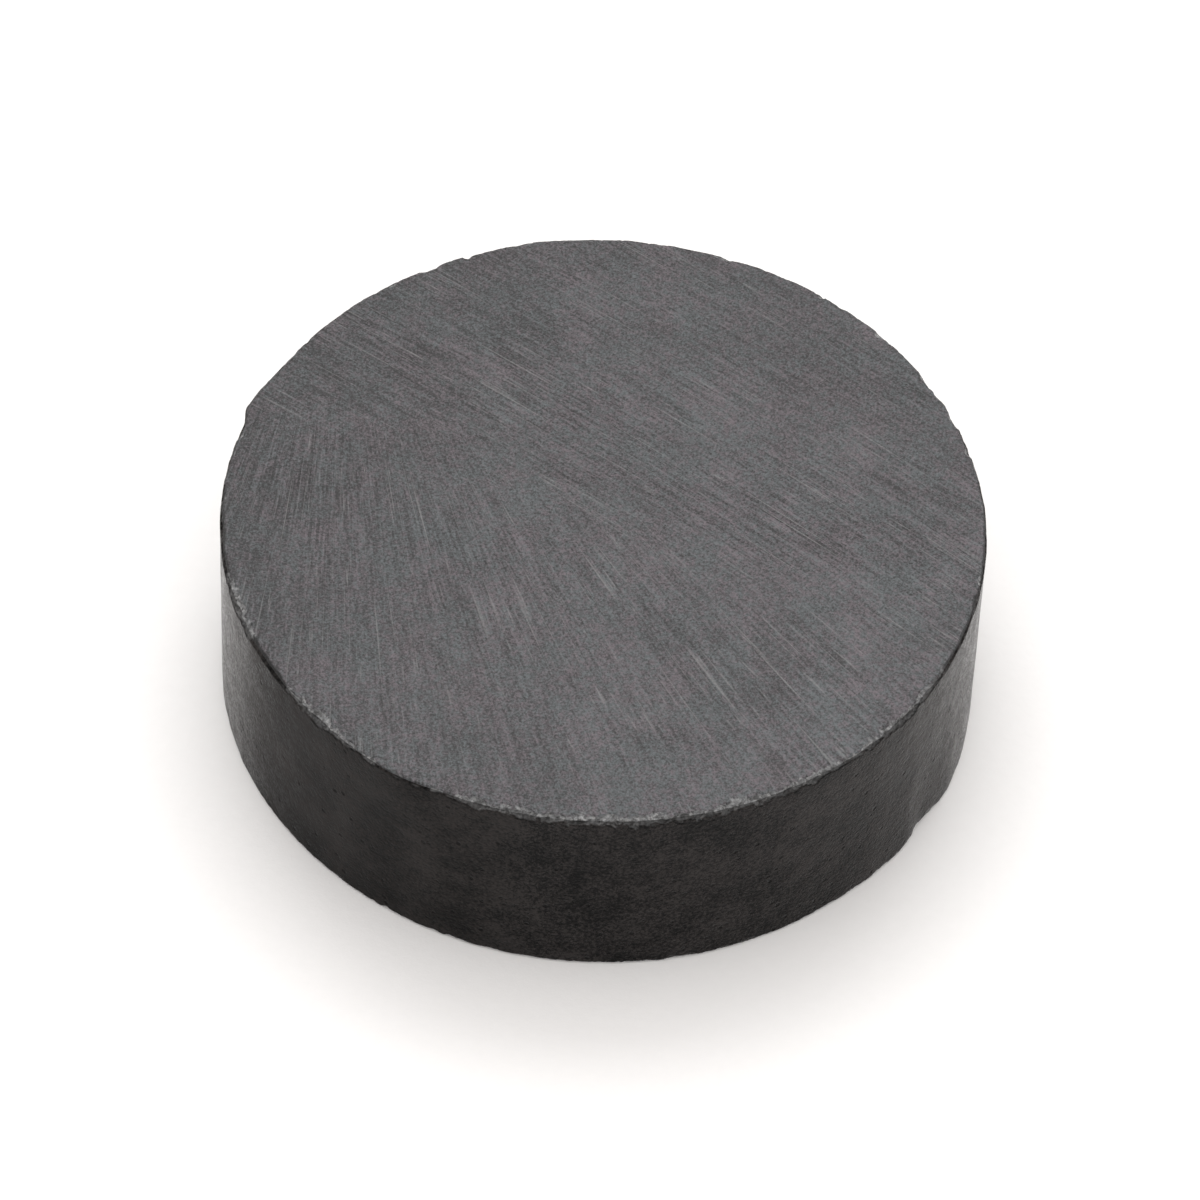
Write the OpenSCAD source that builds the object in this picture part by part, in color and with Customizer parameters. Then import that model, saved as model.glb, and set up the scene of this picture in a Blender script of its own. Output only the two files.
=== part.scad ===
// Sintered ferrite disc magnet, in millimetres.
// One pressed and fired ceramic disc: two faces ground flat, the wall left as fired,
// and both rims broken slightly and chipped. It has no coating, bore or second piece.
// The origin is the centre of the lower face, and +Z runs up through the disc.

/* [Disc] */
// Diameter over the fired wall
disc_d = 20; // [14:0.5:40]
// Thickness between the two ground faces
disc_t = 5.9; // [3:0.1:12]
// Width of the edge break that tumbling leaves along both rims
edge_break = 0.08; // [0.05:0.01:0.3]

/* [Chips] */
// Depth of the large chips, as a share of the listed depths
chip_share = 1; // [0.5:0.1:1.3]
// Number of small chips along the upper rim
upper_small_chips = 34; // [0:1:60]
// Number of small chips along the lower rim
lower_small_chips = 18; // [0:1:60]
// Half-length of the longest small chip
small_chip_length = 0.42; // [0.15:0.01:0.5]
// Depth of the deepest small chip
small_chip_depth = 0.14; // [0.08:0.01:0.2]
// Moves the small chips to other places
chip_seed = 11; // [1:1:99]

/* [Smoothness] */
// Segments in a full circle
facets = 180; // [60:12:360]

/* [Hidden] */
disc_r = disc_d / 2;

// A large chip is [azimuth, half-length, depth, lean]. Azimuth runs anticlockwise from +X,
// and lean is the angle at which the bite comes in, from 0, into the wall, to 90, into the face.
upper_chips = [
    [ 31, 1.00, 0.13, 25],
    [ 42, 0.45, 0.10, 30],
    [ 53, 0.50, 0.10, 30],
    [ 84, 0.80, 0.08, 30],
    [120, 0.55, 0.12, 25],
    [148, 0.50, 0.09, 30],
    [181, 0.30, 0.10, 45],
    [200, 0.45, 0.22, 45],
    [225, 0.50, 0.24, 50],
    [253, 0.35, 0.20, 50],
    [271, 0.30, 0.14, 40],
    [318, 0.40, 0.12, 45],
    [345, 0.60, 0.09, 35]
];
lower_chips = [
    [ 20, 0.70, 0.14, 40],
    [ 75, 0.50, 0.18, 45],
    [112, 1.10, 0.16, 30],
    [160, 0.60, 0.12, 45],
    [187, 0.60, 0.14, 40],
    [246, 0.50, 0.10, 35],
    [284, 0.60, 0.09, 30],
    [330, 1.50, 0.12, 20],
    [351, 0.40, 0.16, 50]
];

// Radius of the ball that cuts a chip of this half-length and depth.
function bite_radius(half_length, depth) = (half_length * half_length + depth * depth) / (2 * depth);

// count small chips, one in each equal share of the rim, as rows of [azimuth, half-length, depth, lean].
function small_chip_rows(count, seed) = count == 0 ? [] :
    let (
        places = rands(0.1, 0.9, count, seed),
        lengths = rands(0.4, 1, count, seed + 100),
        depths = rands(0.55, 1, count, seed + 200),
        leans = rands(25, 65, count, seed + 300)
    )
    [for (i = [0 : count - 1]) [
        360 / count * (i + places[i]),
        small_chip_length * lengths[i],
        small_chip_depth * depths[i],
        leans[i]
    ]];

// The whole disc, before it chipped.
module blank() {
    rotate_extrude($fn = facets)
        polygon([
            [0, 0],
            [disc_r - edge_break, 0],
            [disc_r, edge_break],
            [disc_r, disc_t - edge_break],
            [disc_r - edge_break, disc_t],
            [0, disc_t]
        ]);
}

// A shell-shaped bite out of the upper rim.
module bite(azimuth, half_length, depth, lean) {
    ball_r = bite_radius(half_length, depth);
    stand_off = ball_r - depth;
    rotate([0, 0, azimuth])
        translate([disc_r + stand_off * cos(lean), 0, disc_t + stand_off * sin(lean)])
            sphere(r = ball_r, $fn = 48);
}

module upper_bites(rows) {
    for (row = rows)
        bite(row[0], row[1], row[2], row[3]);
}

module lower_bites(rows) {
    translate([0, 0, disc_t])
        mirror([0, 0, 1])
            upper_bites(rows);
}

function sized(rows) = [for (row = rows) [row[0], row[1], row[2] * chip_share, row[3]]];

module ferrite_disc() {
    color("#454347")
        difference() {
            blank();
            upper_bites(sized(upper_chips));
            upper_bites(small_chip_rows(upper_small_chips, chip_seed));
            lower_bites(sized(lower_chips));
            lower_bites(small_chip_rows(lower_small_chips, chip_seed + 1));
        }
}

ferrite_disc();
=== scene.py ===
import math

import bpy
from mathutils import Matrix, Vector, noise
from mathutils.bvhtree import BVHTree


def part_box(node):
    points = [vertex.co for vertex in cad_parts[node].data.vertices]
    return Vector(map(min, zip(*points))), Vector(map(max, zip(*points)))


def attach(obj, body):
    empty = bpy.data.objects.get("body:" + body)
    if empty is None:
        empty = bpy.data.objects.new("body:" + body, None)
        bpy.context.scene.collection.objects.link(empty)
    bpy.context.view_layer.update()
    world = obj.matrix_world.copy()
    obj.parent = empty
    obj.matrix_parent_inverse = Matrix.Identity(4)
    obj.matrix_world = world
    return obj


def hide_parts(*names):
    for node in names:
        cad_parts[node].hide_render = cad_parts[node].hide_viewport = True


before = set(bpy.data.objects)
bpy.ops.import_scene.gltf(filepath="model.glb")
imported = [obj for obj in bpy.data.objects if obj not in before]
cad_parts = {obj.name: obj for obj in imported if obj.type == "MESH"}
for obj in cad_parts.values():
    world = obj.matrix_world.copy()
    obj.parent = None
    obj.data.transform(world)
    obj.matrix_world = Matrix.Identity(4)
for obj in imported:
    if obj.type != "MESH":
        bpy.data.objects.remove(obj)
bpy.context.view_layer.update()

NODE = "ferrite_disc"
LOW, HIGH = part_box(NODE)
RADIUS = (HIGH.x - LOW.x) / 2
HEIGHT = HIGH.z - LOW.z
MM = 0.001

# Mesh: columns run round the disc, and rings run from the upper centre over the wall to the lower centre.
# Rings crowd towards each rim: the first stands RIM_STEP from it, and each gap is wider than the last.
COLUMNS = 1320
UPPER_RIM_RINGS = 14
LOWER_RIM_RINGS = 12
WALL_RINGS = 10
FACE_RINGS = 4
RIM_STEP = 0.022 * MM
UPPER_RIM_GROWTH = 1.12
LOWER_RIM_GROWTH = 1.03 * UPPER_RIM_GROWTH

# Rims. Depths are along the diagonal between face and wall. A CAD loss under CAD_FACETING is just facets.
RIM_REACH = 1.2 * MM
EDGE_WEAR = 0.05 * MM
CAD_FACETING = 0.014 * MM
CHIP_WANDER = 0.13 * MM
CRUMB_DEPTH = 0.16 * MM
FRACTURE_ROUGHNESS = 0.014 * MM
RAY_START = 0.5 * MM
# Shares of CRUMB_DEPTH: ragged crumbling all along the rims, and an even loss where the rim crumbled most.
CRUMB_BASE = 0.28
CRUMB_FLOOR = 0.52
# Painted shade on chips: how much of the pale break colour a chip on the wall's side of the rim shows, where
# the face's side counts as 1.
WALL_SIDE_CHIP_SHADED_SHARE = 0.35
# Noise waves per millimetre.
WEAR_WAVES = 1.7
WANDER_WAVES = 2.7
COARSE_CRUMB_WAVES = 3.1
FINE_CRUMB_WAVES = 8.0
FRACTURE_WAVES = 17

# Wall: an out-of-round swing and a finer ripple, with their noise waves per radius.
OUT_OF_ROUND = 0.03 * MM
OUT_OF_ROUND_WAVES = 2.1
RIPPLE = 0.012 * MM
RIPPLE_WAVES = 14
# A swell fades in over these shares of the way from the other rim, and reaches in to this share of the radius.
SWELL_FADE = (0.45, 0.9)
SWELL_INNER = 0.9
# Swells of the wall: azimuth of start, peak and end in degrees, height, and the rim that they reach.
SWELLS = [
    (150, 160, 163.5, 0.15 * MM, "upper"),
    (228, 240, 249, 0.08 * MM, "upper"),
    (97, 103, 108, 0.04 * MM, "upper"),
    (306, 334, 356, 0.08 * MM, "lower"),
    (324.5, 330, 338.5, -0.10 * MM, "lower"),
]
# Stretches of the upper rim worn round, where painted shade darkens the worn edge: azimuth of the middle,
# half-width in degrees, extra wear.
ROUNDED = [
    (338, 36, 0.35),
    (200, 26, 0.8),
]
# Stretches of the upper rim that crumbled most: azimuth of the middle, half-width in degrees, extra strength.
CRUMBLED = [
    (277, 34, 1.0),
    (226, 10, 0.6),
    (200, 8, 0.5),
    (316, 20, 0.6),
]

# Camera, in radii of the disc and degrees.
LENS_MM = 217.0
SENSOR_MM = 36.0
AIM = Vector((-0.0013, 0.2230, 0.0))
DISTANCE = 19.443
ELEVATION = 50.11
ROLL = 2.505


# ---------------------------------------------------------------- shape of the disc

def spread(count, step, growth):
    """Distances from an edge that start at step and grow, for rings that crowd towards the edge."""
    return [step * (growth ** i - 1) / (growth - 1) for i in range(1, count + 1)]


def ring_list():
    """Rings from upper centre to lower centre, each (radius, height, distance from the corner, rim).

    The distance is negative on a face and positive on the wall. Away from the rims it is a whole radius.
    """
    upper = spread(UPPER_RIM_RINGS, RIM_STEP, UPPER_RIM_GROWTH)
    lower = spread(LOWER_RIM_RINGS, RIM_STEP, LOWER_RIM_GROWTH)
    rings = []
    inner = RADIUS - upper[-1]

    for i in range(FACE_RINGS):
        rings.append((inner * (i + 0.5) / FACE_RINGS, HEIGHT, -RADIUS, "upper"))
    for u in reversed(upper):
        rings.append((RADIUS - u, HEIGHT, -u, "upper"))
    rings.append((RADIUS, HEIGHT, 0.0, "upper"))
    for u in upper:
        rings.append((RADIUS, HEIGHT - u, u, "upper"))

    top = HEIGHT - upper[-1]
    bottom = lower[-1]
    for i in range(1, WALL_RINGS + 1):
        rings.append((RADIUS, top + (bottom - top) * i / (WALL_RINGS + 1), RADIUS, "upper"))

    for u in reversed(lower):
        rings.append((RADIUS, u, u, "lower"))
    rings.append((RADIUS, 0.0, 0.0, "lower"))
    for u in lower:
        rings.append((RADIUS - u, 0.0, -u, "lower"))

    inner = RADIUS - lower[-1]
    for i in reversed(range(FACE_RINGS)):
        rings.append((inner * (i + 0.5) / FACE_RINGS, 0.0, -RADIUS, "lower"))
    return rings


def smoothstep(low, high, value):
    t = min(1.0, max(0.0, (value - low) / (high - low)))
    return t * t * (3 - 2 * t)


def angle_between(a, b):
    """Signed difference of two azimuths in degrees, from -180 to 180."""
    return (a - b + 180) % 360 - 180


def swell_at(azimuth, z):
    """How far the wall stands out beyond the true circle."""
    turn = math.radians(azimuth)
    around = Vector((math.cos(turn), math.sin(turn), 0.3 * z / HEIGHT))
    out = OUT_OF_ROUND * noise.noise(around * OUT_OF_ROUND_WAVES + Vector((5, 0, 0)))
    out += RIPPLE * noise.noise(around * RIPPLE_WAVES)
    for start, peak, end, height, rim in SWELLS:
        rise = smoothstep(0, angle_between(peak, start), angle_between(azimuth, start))
        fall = smoothstep(0, angle_between(end, peak), angle_between(end, azimuth))
        share = z / HEIGHT if rim == "upper" else 1 - z / HEIGHT
        out += height * rise * fall * smoothstep(*SWELL_FADE, share)
    return out


def strength_at(azimuth, rim, base, stretches):
    """A base strength along a rim, raised on the listed stretches of the upper one."""
    strength = base
    if rim == "upper":
        for middle, half_width, extra in stretches:
            way_out = abs(angle_between(azimuth, middle)) / half_width
            strength += extra * (1 - smoothstep(0.5, 1.0, way_out))
    return strength


def wandered(point, across, corner_distance):
    """The point slid a little along the rim and along its own surface, so that chips get ragged outlines."""
    tangent = Vector((-point.y, point.x, 0)).normalized()
    slide = CHIP_WANDER * noise.noise(across * WANDER_WAVES)
    inward = CHIP_WANDER * noise.noise(across * WANDER_WAVES + Vector((0, 0, 50)))
    inward = max(inward, -abs(corner_distance))
    if corner_distance < 0:
        step = Vector((-point.x, -point.y, 0)).normalized()
    else:
        step = Vector((0, 0, 1 if point.z < HEIGHT / 2 else -1))
    return point + tangent * slide + step * inward


def cad_loss(tree, point, out):
    """Depth along the diagonal to which the CAD solid is cut away under a point of the sharp-edged disc."""
    start = point + out * RAY_START
    hit = tree.ray_cast(start, -out, RAY_START * 3)
    if hit[0] is None:
        return 0.0
    return max(0.0, hit[3] - RAY_START - CAD_FACETING)


def rim_loss(tree, point, out, corner_distance, azimuth, rim):
    """Depths lost along the diagonal at one point near a rim: in all, and by even wear alone."""
    depth_here = abs(corner_distance) / math.sqrt(2)
    across = point / MM
    edge = EDGE_WEAR * strength_at(azimuth, rim, 1.0, ROUNDED)
    edge *= 1 + 0.5 * noise.noise(across * WEAR_WAVES)
    coarse = noise.noise(across * COARSE_CRUMB_WAVES + Vector((9, 0, 0)))
    fine = noise.noise(across * FINE_CRUMB_WAVES + Vector((0, 7, 0)))
    crumbling = strength_at(azimuth, rim, 0.0, CRUMBLED)
    ragged = (CRUMB_BASE + crumbling) * (0.6 * coarse + 0.55 * fine)
    crumb = CRUMB_DEPTH * (ragged + CRUMB_FLOOR * crumbling)
    worn = max(0.0, edge - depth_here)
    crumbled = max(0.0, edge + crumb - depth_here)
    chip = cad_loss(tree, wandered(point, across, corner_distance), out)
    loss = max(worn, crumbled, chip)
    if loss > 0:
        rough = noise.noise(across * FRACTURE_WAVES) + 0.6 * noise.noise(across * 2 * FRACTURE_WAVES)
        loss = max(0.0, loss + FRACTURE_ROUGHNESS * rough * smoothstep(0, EDGE_WEAR * 2, loss))
    return loss, worn


def disc_vertices(rings, tree):
    """Vertex places, ring by ring, with two masks: where each shows a chip, dimmed by painted shade on the
    wall's side, and how much painted shade it takes where the rim is evenly worn round.
    """
    places = []
    chipped = []
    rounded_rim_shade = []
    for radius, z, corner_distance, rim in rings:
        near = abs(corner_distance) < RIM_REACH
        lift = 1 if rim == "upper" else -1
        for column in range(COLUMNS):
            azimuth = 360 * column / COLUMNS
            turn = math.radians(azimuth)
            round_out = Vector((math.cos(turn), math.sin(turn), 0))
            point = round_out * radius + Vector((0, 0, z))
            out = (round_out + Vector((0, 0, lift))).normalized()
            loss, worn = 0.0, 0.0
            if near:
                loss, worn = rim_loss(tree, point, out, corner_distance, azimuth, rim)
            if radius > SWELL_INNER * RADIUS:
                point += round_out * (swell_at(azimuth, z) * radius / RADIUS)
            places.append(point - out * loss)
            # Painted shade: chips on the wall's side face away from the light above, so they show less of the
            # pale break colour.
            chip_shade_factor = 1.0 if corner_distance <= 0 else WALL_SIDE_CHIP_SHADED_SHARE
            crumbling = min(1.0, strength_at(azimuth, rim, 0.0, CRUMBLED))
            even_wear = worn * (1 - crumbling)
            chipped.append(chip_shade_factor * smoothstep(0.2 * EDGE_WEAR, 0.9 * EDGE_WEAR, loss - even_wear))
            # Painted shade on the worn-round rim, strongest on the ROUNDED stretches.
            rim_shade_share = min(1.0, strength_at(azimuth, rim, 0.4, ROUNDED))
            rounded_rim_shade.append(rim_shade_share * smoothstep(0.0, 0.5 * EDGE_WEAR, even_wear))
    return places, chipped, rounded_rim_shade


def disc_faces(rings):
    """Quads between rings, fans at the two centres, and the material number of each."""
    faces = []
    slots = []
    for i in range(len(rings) - 1):
        a, b = rings[i], rings[i + 1]
        if a[2] <= 0 and b[2] <= 0:
            slot = 0 if a[3] == "upper" else 2
        else:
            slot = 1
        for j in range(COLUMNS):
            k = (j + 1) % COLUMNS
            faces.append((i * COLUMNS + j, (i + 1) * COLUMNS + j, (i + 1) * COLUMNS + k, i * COLUMNS + k))
            slots.append(slot)
    upper_centre = len(rings) * COLUMNS
    lower_centre = upper_centre + 1
    last = (len(rings) - 1) * COLUMNS
    for j in range(COLUMNS):
        k = (j + 1) % COLUMNS
        faces.append((upper_centre, j, k))
        slots.append(0)
        faces.append((lower_centre, last + k, last + j))
        slots.append(2)
    return faces, slots


def build_disc(materials):
    """The whole ferrite disc as one closed mesh."""
    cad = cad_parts[NODE].data
    tree = BVHTree.FromPolygons([v.co for v in cad.vertices], [p.vertices for p in cad.polygons])
    rings = ring_list()
    places, chipped, rounded_rim_shade = disc_vertices(rings, tree)
    places += [Vector((0, 0, HEIGHT)), Vector((0, 0, 0))]
    faces, slots = disc_faces(rings)
    mesh = bpy.data.meshes.new("ferrite_disc_body")
    mesh.from_pydata(places, [], faces)
    for material in materials:
        mesh.materials.append(material)
    mesh.polygons.foreach_set("material_index", slots)
    mesh.polygons.foreach_set("use_smooth", [True] * len(faces))
    for name, values in (("chipped", chipped), ("rounded_rim_shade", rounded_rim_shade)):
        mask = mesh.attributes.new(name, "FLOAT", "POINT")
        mask.data.foreach_set("value", values + [0.0, 0.0])
    mesh.update()
    piece = bpy.data.objects.new("ferrite_disc_body", mesh)
    bpy.context.scene.collection.objects.link(piece)
    return piece


# ---------------------------------------------------------------- materials

class Graph:
    """Short calls for wiring one material's nodes."""

    def __init__(self, name):
        self.material = bpy.data.materials.new(name)
        self.material.use_nodes = True
        self.tree = self.material.node_tree
        self.shader = self.tree.nodes["Principled BSDF"]

    def add(self, kind, settings=None, **inputs):
        """Adds a node with its properties and inputs, which go by name or by number as i0, i1 and so on."""
        made = self.tree.nodes.new("ShaderNode" + kind)
        for key, value in (settings or {}).items():
            setattr(made, key, value)
        for key, value in inputs.items():
            socket = made.inputs[int(key[1:])] if key[1:].isdigit() else made.inputs[key]
            self.feed(socket, value)
        return made

    def feed(self, socket, value):
        if isinstance(value, bpy.types.NodeSocket):
            self.tree.links.new(value, socket)
        else:
            socket.default_value = value

    def math(self, operation, a, b=0.0, c=0.0):
        return self.add("Math", {"operation": operation}, i0=a, i1=b, i2=c).outputs[0]

    def vector(self, operation, a, b=(0, 0, 0)):
        return self.add("VectorMath", {"operation": operation}, i0=a, i1=b)

    def noise(self, vector, scale, detail=2.0, roughness=0.5):
        made = self.add("TexNoise", Vector=vector, Scale=scale, Detail=detail, Roughness=roughness)
        return made.outputs["Fac"]

    def range(self, value, low, high, to_low=0.0, to_high=1.0, smooth=True):
        settings = {"interpolation_type": "SMOOTHSTEP" if smooth else "LINEAR"}
        return self.add("MapRange", settings, Value=value, i1=low, i2=high, i3=to_low, i4=to_high).outputs[0]

    def mix(self, factor, a, b, blend="MIX"):
        """Blends two colours."""
        settings = {"data_type": "RGBA", "blend_type": blend}
        return self.add("Mix", settings, Factor=factor, i6=a, i7=b).outputs[2]

    def mix_values(self, factor, a, b):
        """Blends two numbers."""
        return self.add("Mix", {"data_type": "FLOAT"}, Factor=factor, i2=a, i3=b).outputs[0]

    def weighed(self, parts):
        """Sum of noises about 0.5, each pushed away from its middle by its own weight."""
        total = 0.5
        for value, weight in parts:
            total = self.math("ADD", total, self.math("MULTIPLY", self.math("SUBTRACT", value, 0.5), weight))
        return total

    def place(self):
        return self.add("TexCoord").outputs["Object"]

    def attribute(self, name):
        return self.add("Attribute", {"attribute_name": name}).outputs["Fac"]

    def bump(self, height, distance, strength=1.0, under=None):
        made = self.add("Bump", Height=height, Distance=distance, Strength=strength)
        if under is not None:
            self.feed(made.inputs["Normal"], under)
        return made.outputs[0]


def grey(level, red=1.0, blue=1.0):
    """A grey of this linear level, with its red and blue a little off where wanted."""
    return (level * red, level, level * blue, 1.0)


# Faces: their darkest and palest grain, the two hues that they drift between, scratches, and the painted shade
# on the worn-round rim.
FACE_DARK = grey(0.002, 1.03, 1.05)
FACE_LIGHT = grey(0.112, 1.03, 1.05)
SCRATCH = grey(0.25)
RIM_PAINTED_SHADE = grey(0.008)
FACE_COOL = (0.88, 1.02, 1.02, 1)
FACE_WARM = (1.10, 0.96, 1.02, 1)
FACE_IOR = 1.42
# The direction across the border between the two passes of the wheel.
ACROSS_BORDER = (0.423 / RADIUS, 0.906 / RADIUS, 0)
# Grinding marks, in radii of the disc: the far centre of the straight pass, and where the fan starts.
UPPER_STRAIGHT = (-9.5, -13.1)
UPPER_FAN = (-0.75, 1.05)
LOWER_STRAIGHT = (10.0, -9.0)
LOWER_FAN = (1.1, 0.9)
# A newly broken surface: its dark and pale grain, the painted glints of grains that catch the light, and its
# relief.
BREAK_DARK = grey(0.075)
BREAK_PALE = grey(0.21, 0.98, 1.02)
BREAK_PAINTED_GLINT = grey(0.38)
BREAK_RELIEF = 0.05 * MM
# The wall: its darkest and palest clouds, the painted shade in its pits, and the azimuth of its dull side.
WALL_DARK = grey(0.0010)
WALL_LIGHT = grey(0.0245, 1.14, 0.96)
WALL_PIT_SHADE = grey(0.0015)
WALL_IOR = 1.17
DULL_AZIMUTH = math.radians(233)
DULL_SIDE = (math.cos(DULL_AZIMUTH) / RADIUS, math.sin(DULL_AZIMUTH) / RADIUS, 0)
# White card.
PAPER_DARK = (0.90, 0.895, 0.89, 1)
PAPER_LIGHT = (0.93, 0.925, 0.92, 1)
# Widths of the grain and clouds in each material.
FACE_GRAIN = 0.06 * MM
FACE_SPECKLE = 0.16 * MM
FACE_HUE = 1.1 * MM
FACE_GATHER = 2.2 * MM
FACE_CLOUD = 3.5 * MM
BORDER_WANDER = 5 * MM
BREAK_CELL = 0.07 * MM
BREAK_GRAIN = 0.12 * MM
WALL_GRAIN = 0.085 * MM
WALL_PIT_GAP = 0.38 * MM
WALL_MOTTLE = 0.5 * MM
WALL_CLOUD = 1.9 * MM
PAPER_FIBRE = 0.35 * MM


def wheel_place(g, place, centre):
    """Distance from a centre and turn about it, both in millimetres as measured at the disc's own centre."""
    offset = g.vector("SUBTRACT", place, (centre[0] * RADIUS, centre[1] * RADIUS, 0)).outputs[0]
    parts = g.add("SeparateXYZ", Vector=offset)
    x = parts.outputs[0]
    y = parts.outputs[1]
    reach = g.math("SQRT", g.math("ADD", g.math("MULTIPLY", x, x), g.math("MULTIPLY", y, y)))
    turn = g.math("ARCTAN2", y, x)
    mean_reach = math.hypot(*centre) * RADIUS
    return g.math("MULTIPLY", reach, 1 / MM), g.math("MULTIPLY", turn, mean_reach / MM)


def streaks(g, across, along, width, length, seed, detail=2.0, roughness=0.5):
    """Noise drawn out along grinding marks of about this width and length in millimetres."""
    stretched = g.add(
        "CombineXYZ",
        X=g.math("MULTIPLY", across, 1 / width),
        Y=g.math("MULTIPLY", along, 1 / length),
        Z=float(seed),
    ).outputs[0]
    return g.noise(stretched, 1.0, detail, roughness)


def grinding_set(g, across, along, seed):
    """One pass of the wheel: the tone of its bands and fine lines, and its separate bright scratches."""
    broad = streaks(g, across, along, 0.30, 2.6, seed, 2.0)
    fine = streaks(g, across, along, 0.075, 1.5, seed + 3, 1.0, 0.6)
    tone = g.math("ADD", g.math("MULTIPLY", broad, 0.35), g.math("MULTIPLY", fine, 0.65))
    dash = streaks(g, across, along, 0.055, 1.1, seed + 7, 0.0)
    long_dash = streaks(g, across, along, 0.06, 4.2, seed + 9, 0.0)
    gather = streaks(g, across, along, 1.0, 2.2, seed + 11, 2.0)
    bright = g.math("MULTIPLY", g.range(dash, 0.62, 0.86), g.range(gather, 0.42, 0.62))
    long_bright = g.math("MULTIPLY", g.range(long_dash, 0.67, 0.83), 0.8)
    return tone, g.math("MAXIMUM", bright, long_bright)


def face_painted_shade(g, place):
    """Painted shade: how much darker a face is made towards its rim, and towards -X and +Y."""
    slope = g.vector("DOT_PRODUCT", place, (-0.12 / RADIUS, 0.06 / RADIUS, 0)).outputs["Value"]
    flat = g.vector("MULTIPLY", place, (1 / RADIUS, 1 / RADIUS, 0)).outputs[0]
    reach = g.vector("LENGTH", flat).outputs["Value"]
    return g.math("ADD", slope, g.math("MULTIPLY", g.math("MULTIPLY", reach, reach), 0.12))


def fracture(g, place):
    """Colour, roughness and height of a newly broken surface: fine grains, with painted glints on some of
    them.
    """
    cells = g.add("TexVoronoi", {"feature": "F1"}, Vector=place, Scale=1 / BREAK_CELL)
    # Painted glints: a share of the grains take a pale colour, as if they caught the light.
    painted_glint = g.range(g.add("SeparateColor", Color=cells.outputs["Color"]).outputs[0], 0.6, 1.0)
    grain = g.noise(place, 1 / BREAK_GRAIN, 3.0, 0.65)
    colour = g.mix(g.range(grain, 0.35, 0.65), BREAK_DARK, BREAK_PALE)
    colour = g.mix(g.math("MULTIPLY", painted_glint, 0.6), colour, BREAK_PAINTED_GLINT)
    rough = g.range(grain, 0.3, 0.7, 0.62, 0.42)
    return colour, rough, grain


def face_marks(g, place, straight, fan, seed):
    """Tone and bright scratches of both passes: straight marks about a far centre, and a nearer fan."""
    reach, turn = wheel_place(g, place, straight)
    straight_tone, straight_bright = grinding_set(g, reach, turn, seed)
    reach, turn = wheel_place(g, place, fan)
    fan_tone, fan_bright = grinding_set(g, turn, reach, seed + 20)
    border = g.vector("DOT_PRODUCT", place, ACROSS_BORDER).outputs["Value"]
    wander = g.math("MULTIPLY", g.noise(place, 1 / BORDER_WANDER, 3.0), 0.7)
    share = g.range(g.math("ADD", border, wander), 0.10, 0.55)
    near_border = g.range(g.math("ABSOLUTE", border), 0.10, 0.75, 1.0, 0.68)
    gather = g.range(g.noise(place, 1 / FACE_GATHER, 3.0, 0.6), 0.35, 0.65, 0.55, 1.0)
    tone = g.mix_values(share, fan_tone, straight_tone)
    tone = g.mix_values(g.math("MULTIPLY", near_border, gather), 0.5, tone)
    bright = g.math("MULTIPLY", g.mix_values(share, fan_bright, straight_bright), near_border)
    return tone, bright


def face_colour(g, place, tone, bright, grain):
    """Grey that follows the grinding marks and the grain, drifting between two faint hues, with painted shade
    towards the rim and towards -X and +Y.
    """
    cloud = g.noise(place, 1 / FACE_CLOUD, 4.0, 0.6)
    speckle = g.noise(place, 1 / FACE_SPECKLE, 2.0, 0.6)
    hue = g.noise(place, 1 / FACE_HUE, 4.0, 0.65)
    level = g.weighed([(grain, 3.8), (tone, 3.2), (cloud, 0.7)])
    # Painted shade: darker towards the rim, and towards -X and +Y.
    level = g.math("SUBTRACT", level, face_painted_shade(g, place))
    colour = g.mix(g.range(level, -0.2, 1.2, smooth=False), FACE_DARK, FACE_LIGHT)
    tint = g.mix(g.range(g.weighed([(hue, 1.4), (speckle, 1.6)]), 0.15, 0.85), FACE_COOL, FACE_WARM)
    colour = g.mix(1.0, colour, tint, "MULTIPLY")
    return g.mix(g.math("MULTIPLY", bright, 0.5), colour, SCRATCH)


def ground_face(name, straight, fan, seed):
    """A flat face, ground in two passes, with painted shade where its rim is worn round, and pale where chips
    broke off the rim.
    """
    g = Graph(name)
    place = g.place()
    grain = g.noise(place, 1 / FACE_GRAIN, 2.0, 0.8)
    tone, bright = face_marks(g, place, straight, fan, seed)
    # Painted shade darkens the face where its rim is worn round.
    colour = g.mix(g.attribute("rounded_rim_shade"), face_colour(g, place, tone, bright, grain), RIM_PAINTED_SHADE)
    rough = g.range(g.weighed([(tone, 1.0), (grain, 0.8)]), 0.2, 0.8, 0.38, 0.58)
    broken, broken_rough, broken_height = fracture(g, place)
    chipped = g.attribute("chipped")
    g.feed(g.shader.inputs["Base Color"], g.mix(chipped, colour, broken))
    g.feed(g.shader.inputs["Roughness"], g.mix_values(chipped, rough, broken_rough))
    marks = g.math("SUBTRACT", tone, g.math("MULTIPLY", bright, 0.4))
    marks = g.math("MULTIPLY", marks, g.math("SUBTRACT", 1.0, chipped))
    normal = g.bump(marks, 0.035 * MM)
    normal = g.bump(grain, 0.020 * MM, 1.0, normal)
    normal = g.bump(g.math("MULTIPLY", broken_height, chipped), BREAK_RELIEF, 1.0, normal)
    g.feed(g.shader.inputs["Normal"], normal)
    g.shader.inputs["IOR"].default_value = FACE_IOR
    return g.material


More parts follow.
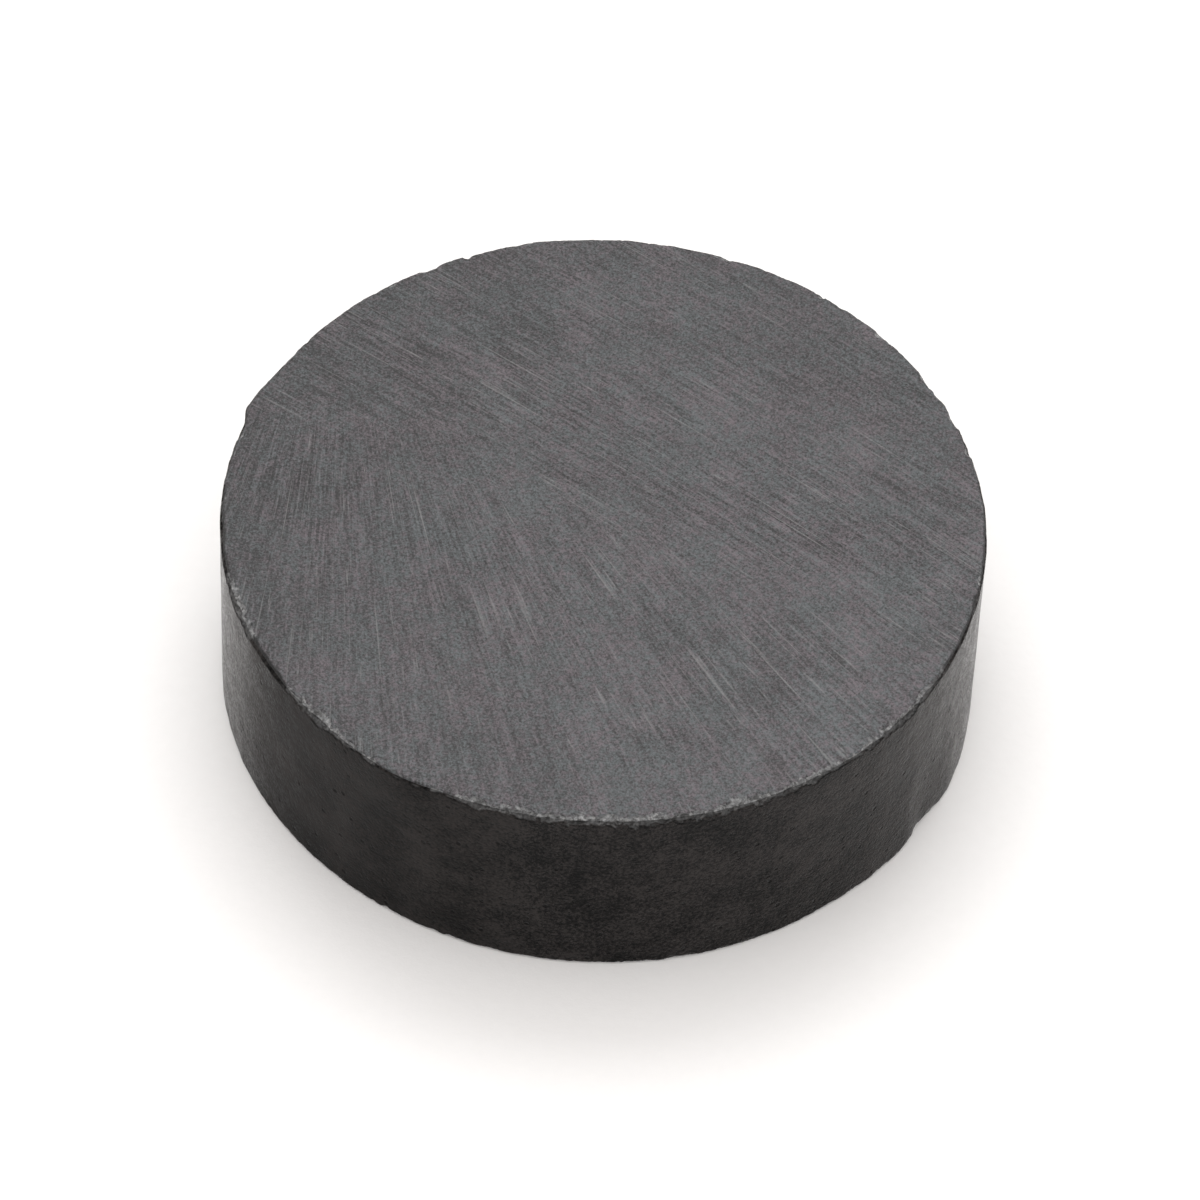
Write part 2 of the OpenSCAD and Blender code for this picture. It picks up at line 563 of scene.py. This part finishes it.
def fired_wall():
    """The pressed wall as it left the kiln: near black, clouded, pitted with painted shade in the pits, and a
    little glossy at a glance.
    """
    g = Graph("fired_wall")
    place = g.place()
    cloud = g.noise(place, 1 / WALL_CLOUD, 5.0, 0.62)
    mottle = g.noise(place, 1 / WALL_MOTTLE, 4.0, 0.65)
    grain = g.noise(place, 1 / WALL_GRAIN, 2.0, 0.7)
    level = g.weighed([(cloud, 1.7), (mottle, 1.2), (grain, 2.8)])
    colour = g.mix(g.range(level, 0.1, 1.0, smooth=False), WALL_DARK, WALL_LIGHT)
    pits = g.add("TexVoronoi", {"feature": "F1"}, Vector=place, Scale=1 / WALL_PIT_GAP).outputs[0]
    pit = g.math("MULTIPLY", g.range(pits, 0.10, 0.24, 1.0, 0.0), g.range(mottle, 0.42, 0.6))
    # Painted shade in the pits.
    colour = g.mix(g.math("MULTIPLY", pit, 0.8), colour, WALL_PIT_SHADE)
    side = g.vector("DOT_PRODUCT", place, DULL_SIDE).outputs["Value"]
    side = g.math("ADD", side, g.math("MULTIPLY", cloud, 0.12))
    dull = g.math("MULTIPLY", g.range(side, 0.90, 1.03), 0.26)
    rough = g.range(g.weighed([(mottle, 1.0), (grain, 1.8)]), 0.2, 0.8, 0.10, 0.36)
    rough = g.math("ADD", rough, dull)
    broken, broken_rough, broken_height = fracture(g, place)
    chipped = g.attribute("chipped")
    g.feed(g.shader.inputs["Base Color"], g.mix(chipped, colour, broken))
    g.feed(g.shader.inputs["Roughness"], g.mix_values(chipped, rough, broken_rough))
    relief = g.math("SUBTRACT", g.math("MULTIPLY", mottle, 0.6), g.math("MULTIPLY", pit, 0.5))
    normal = g.bump(relief, 0.06 * MM)
    normal = g.bump(grain, 0.018 * MM, 1.0, normal)
    normal = g.bump(g.math("MULTIPLY", broken_height, chipped), BREAK_RELIEF, 1.0, normal)
    g.feed(g.shader.inputs["Normal"], normal)
    g.shader.inputs["IOR"].default_value = WALL_IOR
    return g.material


def paper():
    """White card under the disc."""
    g = Graph("white_card")
    place = g.place()
    fibre = g.noise(place, 1 / PAPER_FIBRE, 3.0, 0.6)
    g.feed(g.shader.inputs["Base Color"], g.mix(fibre, PAPER_DARK, PAPER_LIGHT))
    g.feed(g.shader.inputs["Normal"], g.bump(fibre, 0.012 * MM))
    g.shader.inputs["Roughness"].default_value = 0.9
    g.shader.inputs["Specular IOR Level"].default_value = 0.1
    return g.material


# ---------------------------------------------------------------- stage

FLOOR_REACH = 150 * RADIUS
# The light tent: brightness by the height of the direction, from 0 at the horizon to 1 straight up,
# then its tint and its strength.
TENT_STOPS = [(0.0, 0.22), (0.28, 0.30), (0.50, 0.92), (1.0, 1.0)]
TENT_GREEN = 0.975
TENT_BLUE = 0.96
TENT_STRENGTH = 1.35
SOFTBOX_WIDTH = 30 * RADIUS
SOFTBOX_DEPTH = 20 * RADIUS
SOFTBOX_PLACE = Vector((-1, 22, 30)) * RADIUS
SOFTBOX_WATTS = 0.52


def build_floor():
    """A wide white card that the disc lies on."""
    mesh = bpy.data.meshes.new("floor")
    signs = [(-1, -1), (1, -1), (1, 1), (-1, 1)]
    corners = [(x * FLOOR_REACH, y * FLOOR_REACH, LOW.z) for x, y in signs]
    mesh.from_pydata(corners, [], [(0, 1, 2, 3)])
    mesh.materials.append(paper())
    floor = bpy.data.objects.new("floor", mesh)
    bpy.context.scene.collection.objects.link(floor)
    return floor


def build_world():
    """A white light tent: bright above, dim near the horizon, and plain white to the camera itself."""
    world = bpy.data.worlds.new("tent")
    bpy.context.scene.world = world
    world.use_nodes = True
    tree = world.node_tree
    tree.nodes.clear()
    place = tree.nodes.new("ShaderNodeTexCoord")
    parts = tree.nodes.new("ShaderNodeSeparateXYZ")
    tree.links.new(place.outputs["Generated"], parts.inputs[0])
    ramp = tree.nodes.new("ShaderNodeValToRGB")
    tree.links.new(parts.outputs[2], ramp.inputs[0])
    while len(ramp.color_ramp.elements) < len(TENT_STOPS):
        ramp.color_ramp.elements.new(0.5)
    for element, (height, level) in zip(ramp.color_ramp.elements, TENT_STOPS):
        element.position = height
        element.color = (level, level * TENT_GREEN, level * TENT_BLUE, 1)
    tent = tree.nodes.new("ShaderNodeBackground")
    tree.links.new(ramp.outputs[0], tent.inputs["Color"])
    tent.inputs["Strength"].default_value = TENT_STRENGTH
    plain = tree.nodes.new("ShaderNodeBackground")
    plain.inputs["Color"].default_value = (1, 1, 1, 1)
    path = tree.nodes.new("ShaderNodeLightPath")
    mix = tree.nodes.new("ShaderNodeMixShader")
    tree.links.new(path.outputs["Is Camera Ray"], mix.inputs[0])
    tree.links.new(tent.outputs[0], mix.inputs[1])
    tree.links.new(plain.outputs[0], mix.inputs[2])
    out = tree.nodes.new("ShaderNodeOutputWorld")
    tree.links.new(mix.outputs[0], out.inputs["Surface"])


def build_softbox():
    """A large lamp above and behind, which the upper face reflects."""
    lamp = bpy.data.lights.new("softbox", "AREA")
    lamp.shape = "RECTANGLE"
    lamp.size = SOFTBOX_WIDTH
    lamp.size_y = SOFTBOX_DEPTH
    lamp.energy = SOFTBOX_WATTS
    light = bpy.data.objects.new("softbox", lamp)
    light.location = SOFTBOX_PLACE
    light.rotation_euler = (-light.location).to_track_quat("-Z", "Y").to_euler()
    bpy.context.scene.collection.objects.link(light)


def build_camera():
    """A long lens that looks down on the disc, with the frame turned a little."""
    tilt = math.radians(ELEVATION)
    roll = math.radians(ROLL)
    right = Vector((1, 0, 0))
    up = Vector((0, math.sin(tilt), math.cos(tilt)))
    back = Vector((0, -math.cos(tilt), math.sin(tilt)))
    frame_right = math.cos(roll) * right + math.sin(roll) * up
    frame_up = math.cos(roll) * up - math.sin(roll) * right
    data = bpy.data.cameras.new("camera")
    data.lens = LENS_MM
    data.sensor_width = SENSOR_MM
    data.clip_start = RADIUS
    data.clip_end = 1000 * RADIUS
    camera = bpy.data.objects.new("camera", data)
    turned = Matrix((frame_right, frame_up, back)).transposed().to_4x4()
    camera.matrix_world = Matrix.Translation((AIM + back * DISTANCE) * RADIUS) @ turned
    bpy.context.scene.collection.objects.link(camera)
    bpy.context.scene.camera = camera


disc = build_disc([
    ground_face("ground_upper_face", UPPER_STRAIGHT, UPPER_FAN, 1),
    fired_wall(),
    ground_face("ground_lower_face", LOWER_STRAIGHT, LOWER_FAN, 61),
])
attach(disc, "root")
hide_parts(NODE)
floor = build_floor()
build_world()
build_softbox()
build_camera()
bpy.context.scene.view_settings.view_transform = "Standard"
